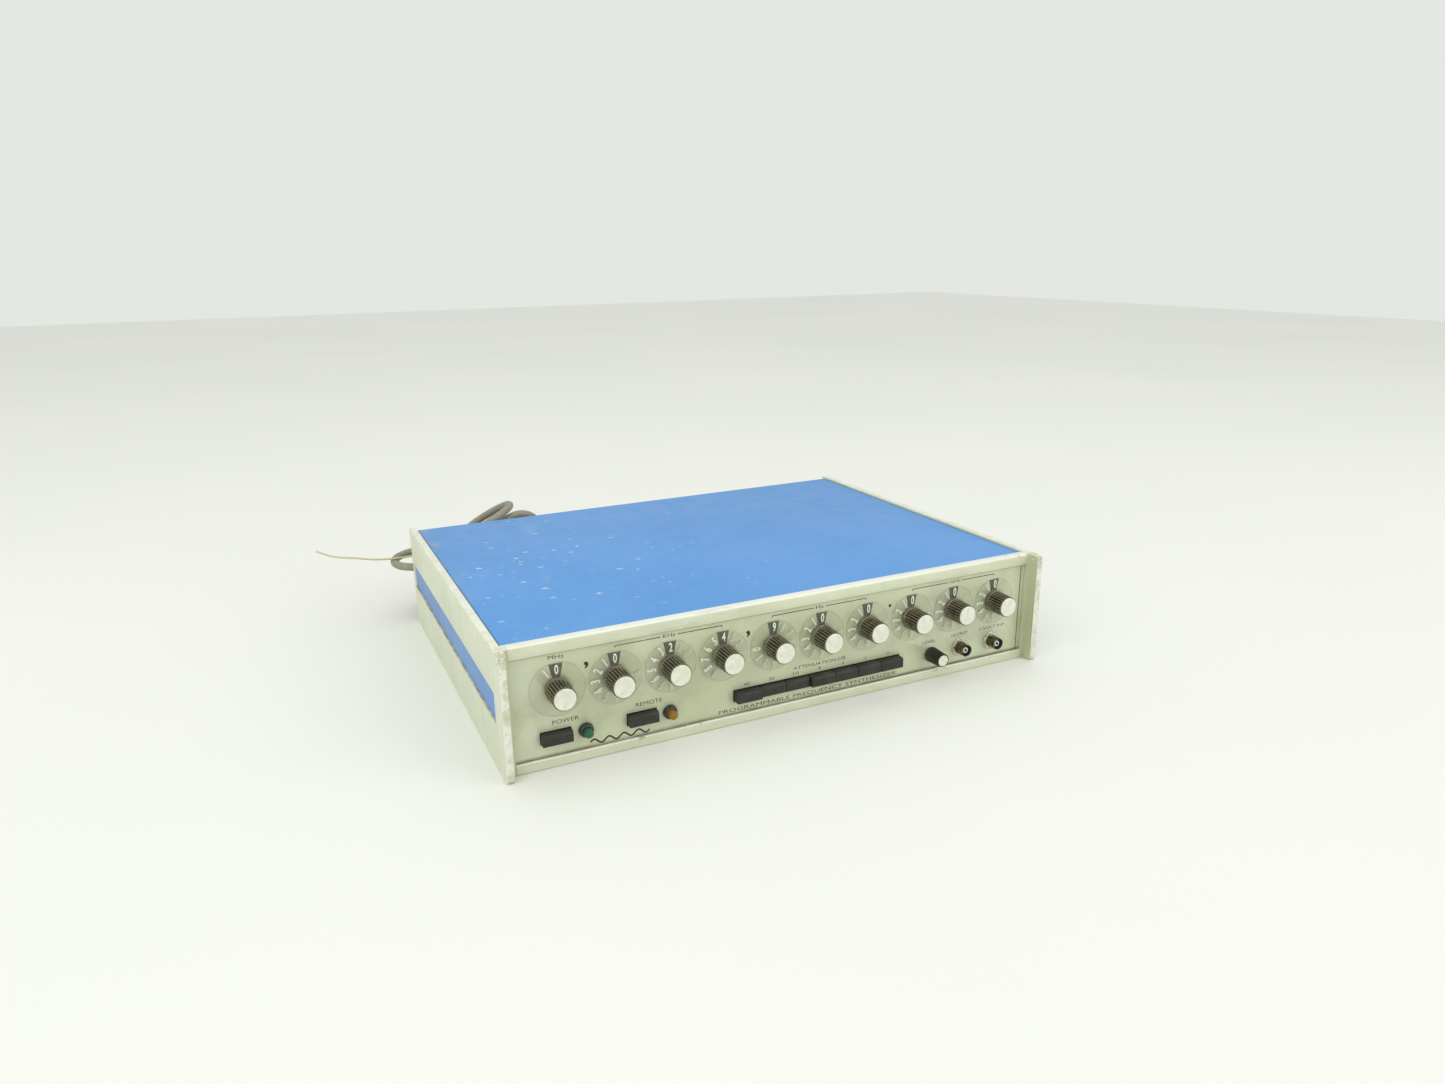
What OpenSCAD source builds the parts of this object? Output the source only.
// A half-height 19-inch-class bench frequency synthesizer with ten decade dials.
// +X is to the right seen from the front, +Y to the back, +Z up. The case stands on z = 0.

/* [Case] */
// Width over the side frames
case_w = 432; // [400:1:483]
// Height of the side frames
case_h = 88; // [86:1:110]
// Depth of the side frames
case_d = 324; // [300:1:420]
// Thickness of a side frame
side_t = 5.5; // [4.5:0.5:8]
// Thickness of the covers
cover_t = 1.5; // [1:0.1:2]
// How far the covers lie below the edges of the side frames
cover_drop = 1.8; // [1:0.1:3]

/* [Front panel] */
// Thickness of the front panel
panel_t = 2; // [1.5:0.1:3]
// Height of the front of the top rail
top_rail_h = 8.4; // [6:0.1:10]
// Height of the front of the bottom rail
bottom_rail_h = 7.4; // [6:0.1:9]

/* [Dials] */
// Number of decade dials
dials = 10; // [10:1:10]
// Distance between two dials
dial_pitch = 39.37; // [39:0.01:40.5]
// Height of the dial axes
dial_z = 54; // [50:0.5:58]
// Radius of the clear skirt with the numbers
skirt_r = 18.8; // [16:0.1:19]
// Radius of the fluted grip
grip_r = 8; // [7:0.1:9]
// Radius of the spun metal cap
cap_r = 7.4; // [6:0.1:7.4]
// Radius of a switch shaft
shaft_r = 3.175; // [3:0.005:3.2]

/* [Buttons] */
// Distance between two attenuator buttons
key_pitch = 20; // [19:0.1:21]
// Height of a button cap
key_h = 7.8; // [7:0.1:9]
// How far a button travels
key_travel = 3.5; // [3:0.1:4]
// Gap between a button and what it slides in
key_gap = 0.2; // [0.15:0.01:0.3]

/* [Connectors] */
// Radius of a coaxial jack's barrel
jack_r = 4.8; // [4.8:0.01:4.9]
// How far a coaxial jack stands out of its panel
jack_len = 10; // [9:0.1:12]

/* [Mains cord] */
// Diameter of the mains cord
cord_d = 7; // [6:0.1:8]

/* [Hidden] */

$fn = 48;
e = 0.01;
// Gap between pieces that are glued or clamped together
fit_gap = 0.05;

// Planes from front to back. The origin is under the middle of the object without its cord.
knob_reach = 8;
rear_recess = 6;
overall_d = knob_reach + case_d + jack_len - rear_recess;
y_plate = knob_reach - overall_d / 2;
y_rail = y_plate + 8.5;
y_panel = y_plate + 10.5;
y_panel_in = y_panel + panel_t;
y_rail_back = y_plate + 16.4;
y_back = y_plate + case_d;
y_rear_panel = y_back - rear_recess;
rear_panel_t = 1.8;
y_rear_in = y_rear_panel - rear_panel_t;

// Planes from left to right and from bottom to top
x_out = case_w / 2;
x_in = x_out - side_t;
post_w = 3;
x_post = x_in - post_w;
z_cover = case_h - cover_drop;
z_cover_in = z_cover - cover_t;
z_floor = cover_drop + cover_t;
z_panel_top = case_h - top_rail_h;

// Stripe along the side frames
stripe_low = 34.5;
stripe_high = 56;
stripe_depth = 2;
stripe_front = y_plate + 18;
stripe_back = y_back - 5.5;
inlay_t = 0.6;

// Ledges that carry the covers
ledge_w = 6.5;
ledge_h = 4.5;
ledge_front = y_plate + 30;
ledge_back = y_back - 30;

// Rear rails
rail_depth = 10;
rail_height = 8.5;
screw_r = 1.5;
screw_gap = 0.1;
screw_x = [-195, -70, 70, 195];
screw_z = [z_floor + rail_height / 2, z_cover_in - rail_height / 2];

// Controls under the dials: [x of the middle, width]
y_switch = y_panel + 17;
switch_len = 22;
key_z = 21.1;
power_key = [-179.8, 20.5];
remote_key = [-120.1, 21];
bank_left = -51.1;
key_values = [40, 20, 10, 8, 4, 2, 1];
latched_values = [20, 10];
latch_depth = 2.3;
level_at = [119, 19.8];
lamp_at = [[-159.6, 21], [-99.9, 20.5]];
lens_reach = 7.6;
front_jack_at = [[146, 20.6], [177, 20.4]];
rear_jack_at = [[150, 22], [180, 22]];

// Rear panel
connector_at = [100, 56];
connector_w = 92;
connector_h = 16;
fuse_at = [20, 60];
relief_at = [-30, 36];
relief_len = 24;
relief_hole_r = 6.3;

// Mains cord, from the strain relief into the hank and from the hank to the plug
cord_r = cord_d / 2;
route_in = [
    [-30, 182, 36], [-30, 192, 36], [-33, 204, 36], [-41, 214, 36], [-53, 220, 36],
    [-68, 221, 36], [-84, 221, 37], [-100, 221, 38], [-116, 220, 40], [-134, 216, 41]
];
route_out = [
    [-106, 172, 4], [-96, 172, 4], [-84, 173, 5], [-74, 175, 9], [-66, 176, 13], [-62, 176, 14]
];
hank_y = [164.5, 217.5];
tie_x = -166;
tie_route = [
    [-166, 190, 60], [-186, 190, 57], [-206, 190, 55], [-226, 190, 54],
    [-244, 190, 55], [-262, 190, 59], [-280, 190, 63], [-294, 190, 70]
];
tie_r = 0.9;
plug_at = [-62, 176, 14];

function dial_x(i) = (i - (dials + 1) / 2) * dial_pitch;
function key_x(k) = bank_left + (k + 0.5) * key_pitch;
function is_latched(v) = len([for (l = latched_values) if (l == v) l]) > 0;
function arc(cx, cy, r, from, to) =
    [for (k = [0:6]) let (a = from + (to - from) * k / 6) [cx + r * cos(a), cy + r * sin(a)]];
function unit(v) = v / norm(v);
function tangent(p, i) = unit(p[min(i + 1, len(p) - 1)] - p[max(i - 1, 0)]);
function ring(p, i, r, n) =
    let (t = tangent(p, i), a = unit(cross(t, [0, 0, 1])), b = cross(t, a))
    [for (k = [0:n - 1]) p[i] + r * cos(360 * k / n) * a + r * sin(360 * k / n) * b];

// A box from its low corner to its high corner
module block(low, high) {
    translate(low) cube(high - low);
}

// A cylinder along Y at [x, z], from y0 to y1
module rod(at, r, y0, y1) {
    translate([at[0], y0, at[1]]) rotate([-90, 0, 0]) cylinder(h = y1 - y0, r = r);
}

// A profile in the YZ plane, from x0 to x1
module along_x(x0, x1) {
    translate([x0, 0, 0]) rotate([90, 0, 90]) linear_extrude(x1 - x0) children();
}

// A round tube through the points of a route
module tube(p, r, n) {
    rings = len(p);
    points = [for (i = [0:rings - 1]) each ring(p, i, r, n)];
    sides = [
        for (i = [0:rings - 2]) for (k = [0:n - 1])
            [i * n + k, (i + 1) * n + k, (i + 1) * n + (k + 1) % n, i * n + (k + 1) % n]
    ];
    front = [for (k = [0:n - 1]) k];
    back = [for (k = [n - 1:-1:0]) (rings - 1) * n + k];
    polyhedron(points, concat(sides, [front, back]), convexity = 6);
}

module side_frame() {
    difference() {
        union() {
            along_x(x_in, x_out) polygon(concat(
                arc(y_plate + 2.5, 2.5, 2.5, 180, 270),
                arc(y_back - 1, 1, 1, 270, 360),
                arc(y_back - 1, case_h - 1, 1, 0, 90),
                arc(y_plate + 4.5, case_h - 4.5, 4.5, 90, 180)
            ));
            block([x_post, y_rail, 0], [x_in + e, y_rail_back, case_h]);
            for (z = [z_floor, z_cover_in - ledge_h])
                block([x_in - ledge_w, ledge_front, z], [x_in + e, ledge_back, z + ledge_h]);
        }
        block([x_out - stripe_depth, stripe_front, stripe_low],
              [x_out + 1, stripe_back, stripe_high]);
    }
}

module left_side_frame() {
    color([0.80, 0.82, 0.74]) mirror([1, 0, 0]) side_frame();
}

module right_side_frame() {
    color([0.80, 0.82, 0.74]) side_frame();
}

module side_inlay() {
    block([x_out - stripe_depth, stripe_front + 0.3, stripe_low + 0.3],
          [x_out - stripe_depth + inlay_t, stripe_back - 0.3, stripe_high - 0.3]);
}

module side_inlays() {
    color([0.42, 0.60, 0.80]) {
        side_inlay();
        mirror([1, 0, 0]) side_inlay();
    }
}

// A front rail has a groove for the edge of the panel and one for the tongue of a cover
module front_top_rail() {
    groove_low = z_cover_in - 0.1;
    color([0.78, 0.80, 0.72]) along_x(-x_post, x_post) polygon([
        [y_rail, z_panel_top], [y_panel - 0.1, z_panel_top], [y_panel - 0.1, z_panel_top + 2.6],
        [y_panel_in + 0.1, z_panel_top + 2.6], [y_panel_in + 0.1, z_panel_top],
        [y_rail_back, z_panel_top], [y_rail_back, groove_low], [y_rail_back - 2, groove_low],
        [y_rail_back - 2, z_cover + 0.1], [y_rail_back, z_cover + 0.1],
        [y_rail_back, case_h], [y_rail + 1, case_h], [y_rail, case_h - 1]
    ]);
}

module front_bottom_rail() {
    groove_high = z_floor + 0.1;
    color([0.78, 0.80, 0.72]) along_x(-x_post, x_post) polygon([
        [y_rail, 0.6], [y_rail + 0.6, 0], [y_rail_back, 0], [y_rail_back, cover_drop - 0.1],
        [y_rail_back - 2, cover_drop - 0.1], [y_rail_back - 2, groove_high],
        [y_rail_back, groove_high], [y_rail_back, bottom_rail_h],
        [y_panel_in + 0.1, bottom_rail_h], [y_panel_in + 0.1, bottom_rail_h - 2.2],
        [y_panel - 0.1, bottom_rail_h - 2.2], [y_panel - 0.1, bottom_rail_h],
        [y_rail, bottom_rail_h]
    ]);
}

module rear_rails() {
    color([0.72, 0.73, 0.70]) difference() {
        for (z = [z_floor, z_cover_in - rail_height])
            block([-x_in, y_rear_in - rail_depth, z], [x_in, y_rear_in, z + rail_height]);
        for (x = screw_x, z = screw_z)
            rod([x, z], screw_r + screw_gap, y_rear_in - 8, y_rear_in + 1);
    }
}

// A flat cover with a tongue for the front rail and a stiffening lip inside each ledge
module cover_sheet(z) {
    lip_x = x_in - ledge_w - 0.5;
    block([-x_in + 0.2, y_rail_back + 0.1, z], [x_in - 0.2, y_rear_panel, z + cover_t]);
    block([-x_post + 1, y_rail_back - 1.6, z], [x_post - 1, y_rail_back + 1, z + cover_t]);
    lip_low = z > case_h / 2 ? z - 7 : z;
    for (x = [-lip_x, lip_x - cover_t])
        block([x, ledge_front + 2, lip_low], [x + cover_t, ledge_back - 2, lip_low + 7 + cover_t]);
}

module top_cover() {
    color([0.32, 0.53, 0.80]) cover_sheet(z_cover_in);
}

module bottom_cover() {
    color([0.32, 0.53, 0.80]) cover_sheet(cover_drop);
}

module key_opening(x, w) {
    block([x - w / 2 - key_gap - 0.2, y_panel - 1, key_z - key_h / 2 - 0.7],
          [x + w / 2 + key_gap + 0.2, y_panel_in + 1, key_z + key_h / 2 + 0.7]);
}

module front_panel() {
    bank_mid = bank_left + len(key_values) * key_pitch / 2;
    color([0.66, 0.68, 0.61]) difference() {
        block([-x_post + 0.1, y_panel, bottom_rail_h - 2],
              [x_post - 0.1, y_panel_in, z_panel_top + 2.4]);
        for (i = [1:dials]) rod([dial_x(i), dial_z], 4.6, y_panel - 1, y_panel_in + 1);
        key_opening(power_key[0], power_key[1]);
        key_opening(remote_key[0], remote_key[1]);
        key_opening(bank_mid, len(key_values) * key_pitch);
        for (at = lamp_at) rod(at, 4.1, y_panel - 1, y_panel_in + 1);
        for (at = front_jack_at) rod(at, 4.85, y_panel - 1, y_panel_in + 1);
        rod(level_at, 3.6, y_panel - 1, y_panel_in + 1);
    }
}

module rear_panel() {
    color([0.74, 0.75, 0.72]) difference() {
        block([-x_in + 0.2, y_rear_in, z_floor + 0.1], [x_in - 0.2, y_rear_panel, z_cover_in - 0.1]);
        for (x = screw_x, z = screw_z)
            rod([x, z], screw_r + screw_gap, y_rear_in - 1, y_rear_panel + 1);
        for (at = rear_jack_at) rod(at, 4.85, y_rear_in - 1, y_rear_panel + 1);
        rod(fuse_at, 6.2, y_rear_in - 1, y_rear_panel + 1);
        rod(relief_at, relief_hole_r, y_rear_in - 1, y_rear_panel + 1);
        block([connector_at[0] - 40, y_rear_in - 1, connector_at[1] - 6],
              [connector_at[0] + 40, y_rear_panel + 1, connector_at[1] + 6]);
    }
}

module rear_panel_screws() {
    color([0.75, 0.75, 0.76]) for (x = screw_x, z = screw_z) difference() {
        union() {
            rod([x, z], 2.9, y_rear_panel, y_rear_panel + 2);
            rod([x, z], screw_r, y_rear_in - 6, y_rear_panel + e);
        }
        for (turn = [0, 90])
            translate([x, y_rear_panel + 1, z]) rotate([0, turn, 0])
                translate([-1.7, 0, -0.4]) cube([3.4, 2, 0.8]);
    }
}

// A button has a cap in the panel and a stem in its switch. It is drawn out, or pressed by depth.
module push_key(x, w, reach, depth) {
    front = y_panel - reach + depth;
    back = y_switch - key_travel - 4 + depth;
    block([x - w / 2, front, key_z - key_h / 2], [x + w / 2, back, key_z + key_h / 2]);
    block([x - 2.5, back - e, key_z - 2], [x + 2.5, back + 19, key_z + 2]);
}

module power_button() {
    color([0.17, 0.16, 0.16]) push_key(power_key[0], power_key[1], 5.5, 0);
}

module remote_button() {
    color([0.17, 0.16, 0.16]) push_key(remote_key[0], remote_key[1], 5.5, 0);
}

module attenuator_button(k) {
    depth = is_latched(key_values[k]) ? latch_depth : 0;
    color([0.16, 0.15, 0.15]) push_key(key_x(k), key_pitch - 2 * key_gap, 6.5, depth);
}

// A shelf behind the panel that the push switches stand on
module switch_bracket() {
    shelf = key_z - 8;
    color([0.70, 0.71, 0.70]) {
        block([-192, y_panel_in, shelf - 1], [92, y_switch + switch_len, shelf]);
        block([-192, y_panel_in, shelf - 5], [92, y_panel_in + 1, shelf - e]);
    }
}

module push_switch(x) {
    difference() {
        block([x - 9, y_switch, key_z - 8], [x + 9, y_switch + switch_len, key_z + 8]);
        block([x - 2.5 - key_gap, y_switch - 1, key_z - 2 - key_gap],
              [x + 2.5 + key_gap, y_switch + switch_len + 1, key_z + 2 + key_gap]);
    }
}

module push_switches() {
    color([0.88, 0.86, 0.78]) {
        push_switch(power_key[0]);
        push_switch(remote_key[0]);
        for (k = [0:len(key_values) - 1]) push_switch(key_x(k));
    }
}

module level_knob() {
    color([0.20, 0.17, 0.15]) difference() {
        rod(level_at, 6, y_panel - 15, y_panel - 0.6);
        rod(level_at, 4.4 + fit_gap, y_panel - 16, y_panel - 14.2 + fit_gap);
        rod(level_at, 2 + fit_gap, y_panel - 11, y_panel);
    }
    color("silver") rod(level_at, 4.4, y_panel - 15.8, y_panel - 14.2);
    color("silver") rod(level_at, 2, y_panel - 10, y_panel + 14);
}

module level_potentiometer() {
    color([0.45, 0.45, 0.47]) difference() {
        union() {
            rod(level_at, 3.5, y_panel, y_panel_in + e);
            rod(level_at, 8, y_panel_in, y_panel_in + 16);
        }
        rod(level_at, 2.06, y_panel - 1, y_panel_in + 13);
    }
}

module lamp_holders() {
    color([0.10, 0.10, 0.10]) for (at = lamp_at) difference() {
        union() {
            rod(at, 5.1, y_panel - 3.4, y_panel);
            rod(at, 4, y_panel - e, y_panel + 20);
        }
        rod(at, 3.3, y_panel - 5, y_panel + 6);
    }
}

module lamp_lens(at) {
    y_shoulder = y_panel - lens_reach;
    rod(at, 3.2, y_shoulder, y_panel + 6);
    intersection() {
        translate([at[0], y_shoulder + 2.6, at[1]]) sphere(r = 4.12);
        rod(at, 3.2, y_shoulder - 2, y_shoulder + e);
    }
}

module power_lamp_lens() {
    color([0.10, 0.45, 0.30]) lamp_lens(lamp_at[0]);
}

module remote_lamp_lens() {
    color([0.80, 0.50, 0.10]) lamp_lens(lamp_at[1]);
}

// A ring on the barrel of a jack
module jack_ring(r, y0, y1) {
    difference() {
        rod([0, 0], r, y0, y1);
        rod([0, 0], jack_r + fit_gap, y0 - 1, y1 + 1);
    }
}

// A coaxial panel jack along -Y: a barrel with two lugs, a washer, an insulator and a rear nut
module coaxial_jack(back_wall) {
    difference() {
        union() {
            rod([0, 0], jack_r, -jack_len, e);
            rod([0, 0], jack_r - 0.05, -e, back_wall + 9);
            for (side = [-1, 1])
                translate([side * (jack_r - 0.5), 2.6 - jack_len, 0]) rotate([0, side * 90, 0])
                    cylinder(h = 1.5, r = 1);
        }
        rod([0, 0], 4.05, -jack_len - 1, -1.5);
    }
    jack_ring(7.2, -2.2, 0);
    jack_ring(7, back_wall, back_wall + 2.4);
    difference() {
        rod([0, 0], 2.4, 1.6 - jack_len, -1.5);
        rod([0, 0], 0.7, -jack_len, -4);
    }
}

module coaxial_jacks() {
    color([0.72, 0.70, 0.62]) {
        for (at = front_jack_at)
            translate([at[0], y_panel, at[1]]) coaxial_jack(panel_t);
        for (at = rear_jack_at)
            translate([at[0], y_rear_panel, at[1]]) mirror([0, 1, 0]) coaxial_jack(rear_panel_t);
    }
}

// A wide socket with a flange and a shroud round a bar of contacts
module remote_connector() {
    color([0.62, 0.62, 0.60]) translate([connector_at[0], y_rear_panel, connector_at[1]]) {
        difference() {
            union() {
                block([-connector_w / 2, 0, -connector_h / 2], [connector_w / 2, 1.2, connector_h / 2]);
                block([-38, 1.2 - e, -5.5], [38, 5.5, 5.5]);
                block([-39.5, -9, -5.6], [39.5, e, 5.6]);
            }
            block([-36.8, -4, -4.3], [36.8, 6, 4.3]);
        }
        block([-35, -4 - e, -1.6], [35, 0.2, 1.6]);
    }
}

module fuse_holder() {
    color([0.12, 0.12, 0.12]) difference() {
        union() {
            rod(fuse_at, 8, y_rear_panel, y_rear_panel + 1.8);
            rod(fuse_at, 6.1, y_rear_panel - 38, y_rear_panel + e);
            rod(fuse_at, 8.5, y_rear_in - 3, y_rear_in);
        }
        rod(fuse_at, 4.1, y_rear_panel - 34, y_rear_panel + 3);
    }
}

module fuse_cap() {
    color([0.14, 0.14, 0.14]) {
        difference() {
            rod(fuse_at, 6.8, y_rear_panel + 2.1, y_rear_panel + 9);
            translate([fuse_at[0] - 5, y_rear_panel + 8, fuse_at[1] - 0.6]) cube([10, 2, 1.2]);
        }
        rod(fuse_at, 4.02, y_rear_panel - 6, y_rear_panel + 2.1 + e);
    }
}

module rotary_switches() {
    color([0.70, 0.62, 0.42]) for (i = [1:dials]) difference() {
        union() {
            rod([dial_x(i), dial_z], 4.5, y_panel, y_panel_in + e);
            rod([dial_x(i), dial_z], 14, y_panel_in, y_panel_in + 5);
            rod([dial_x(i), dial_z], 12, y_panel_in + 4, y_panel_in + 24);
        }
        rod([dial_x(i), dial_z], shaft_r + 0.06, y_panel - 1, y_panel_in + 20);
    }
}

module dial_knob(i) {
    at = [dial_x(i), dial_z];
    grip_back = y_panel - 1.5;
    cap_front = y_plate - knob_reach;
    color([0.16, 0.13, 0.12]) difference() {
        rod(at, grip_r, cap_front + 0.6, grip_back);
        rod(at, cap_r + fit_gap, cap_front - 1, cap_front + 1.4 + fit_gap);
        rod(at, shaft_r + fit_gap, cap_front + 4, grip_back + 1);
    }
    color("silver") rod(at, cap_r, cap_front, cap_front + 1.4);
    color("silver") rod(at, shaft_r, cap_front + 5, y_panel_in + 18);
}

module dial_skirt(i) {
    at = [dial_x(i), dial_z];
    color([0.78, 0.80, 0.74]) difference() {
        rod(at, skirt_r, y_panel - 1.5, y_panel - 0.3);
        rod(at, shaft_r + fit_gap, y_panel - 3, y_panel);
    }
}

module main_board() {
    board_z = 18;
    board_low = [-85, y_plate + 62, board_z];
    board_high = [196, y_plate + 236, board_z + 1.6];
    color([0.10, 0.38, 0.22]) block(board_low, board_high);
    color([0.10, 0.38, 0.22]) for (x = [-78, 55, 189], y = [y_plate + 69, y_plate + 229])
        translate([x, y, z_floor]) cylinder(h = board_z - z_floor, r = 3);
    color([0.10, 0.10, 0.10]) for (column = [0:7], row = [0:2])
        translate([-66 + 30 * column, y_plate + 84 + 30 * row, board_z + 1.6]) cube([7, 20, 4]);
    color("silver") block([-60, y_plate + 176, board_z + 1.6], [10, y_plate + 226, board_z + 26]);
}

module mains_transformer() {
    color([0.35, 0.34, 0.33]) block([-165, y_back - 100, z_floor], [-105, y_back - 56, 63]);
    color([0.80, 0.66, 0.30]) for (y = [y_back - 112, y_back - 56])
        block([-157, y, z_floor + 12], [-113, y + 12, 55]);
}

module filter_capacitors() {
    color([0.20, 0.35, 0.62]) for (x = [-72, -34])
        translate([x, y_back - 58, z_floor]) {
            cylinder(h = 58, r = 15);
            cylinder(h = 8, r = 17);
        }
}

// A bushing in the rear panel with a tapering sleeve round the cord
module strain_relief() {
    color([0.33, 0.32, 0.28]) translate([relief_at[0], y_rear_panel, relief_at[1]])
        rotate([-90, 0, 0]) rotate_extrude() polygon([
            [0, -7], [7.6, -7], [7.6, -rear_panel_t], [relief_hole_r - 0.1, -rear_panel_t],
            [relief_hole_r - 0.1, 0], [8, 0], [8, 3], [6.2, 4], [cord_r + 1, relief_len],
            [0, relief_len]
        ]);
}

module mains_cord() {
    color([0.48, 0.47, 0.40]) {
        tube(route_in, cord_r, 10);
        tube(route_out, cord_r, 10);
    }
}

// The folded length of the cord: its outline seen from the front, and its thickness
module cord_hank() {
    color([0.48, 0.47, 0.40]) translate([0, hank_y[1], 0]) rotate([90, 0, 0])
        linear_extrude(hank_y[1] - hank_y[0]) polygon(concat(
            arc(-206, 26, 26, 180, 270), arc(-118, 26, 26, 270, 360),
            arc(-118, 70, 26, 0, 110), arc(-206, 33, 26, 110, 180)
        ));
}

module cord_tie() {
    color([0.82, 0.80, 0.62]) {
        difference() {
            block([tie_x - 2, hank_y[0] - 1, 0], [tie_x + 2, hank_y[1] + 1, 80]);
            block([tie_x - 3, hank_y[0], 0.9], [tie_x + 3, hank_y[1], 78.6]);
        }
        tube(tie_route, tie_r, 8);
    }
}

// A moulded three-pin plug that lies on the surface with its pins to the right
module mains_plug() {
    color([0.46, 0.45, 0.39]) translate(plug_at) rotate([0, 90, 0]) {
        cylinder(h = 22, r1 = cord_r + 1, r2 = 7.5);
        translate([0, 0, 22 - e]) cylinder(h = 24, r = 13);
    }
    color([0.80, 0.72, 0.45]) translate(plug_at + [46 - e, 0, 0]) {
        for (y = [-6.35, 6.35]) translate([0, y - 0.75, 1.5]) cube([17, 1.5, 6.3]);
        translate([0, 0, -6.5]) rotate([0, 90, 0]) cylinder(h = 20, r = 2.4);
    }
}

left_side_frame();
right_side_frame();
side_inlays();
front_top_rail();
front_bottom_rail();
rear_rails();
top_cover();
bottom_cover();
front_panel();
rear_panel();
rear_panel_screws();
switch_bracket();
power_button();
remote_button();
attenuator_button(0);  // attenuator_button_40
attenuator_button(1);  // attenuator_button_20
attenuator_button(2);  // attenuator_button_10
attenuator_button(3);  // attenuator_button_8
attenuator_button(4);  // attenuator_button_4
attenuator_button(5);  // attenuator_button_2
attenuator_button(6);  // attenuator_button_1
push_switches();
level_knob();
level_potentiometer();
lamp_holders();
power_lamp_lens();
remote_lamp_lens();
coaxial_jacks();
remote_connector();
fuse_holder();
fuse_cap();
rotary_switches();
main_board();
mains_transformer();
filter_capacitors();
strain_relief();
mains_cord();
cord_hank();
cord_tie();
mains_plug();
for (i = [1:dials]) {
    dial_knob(i);
    dial_skirt(i);
}
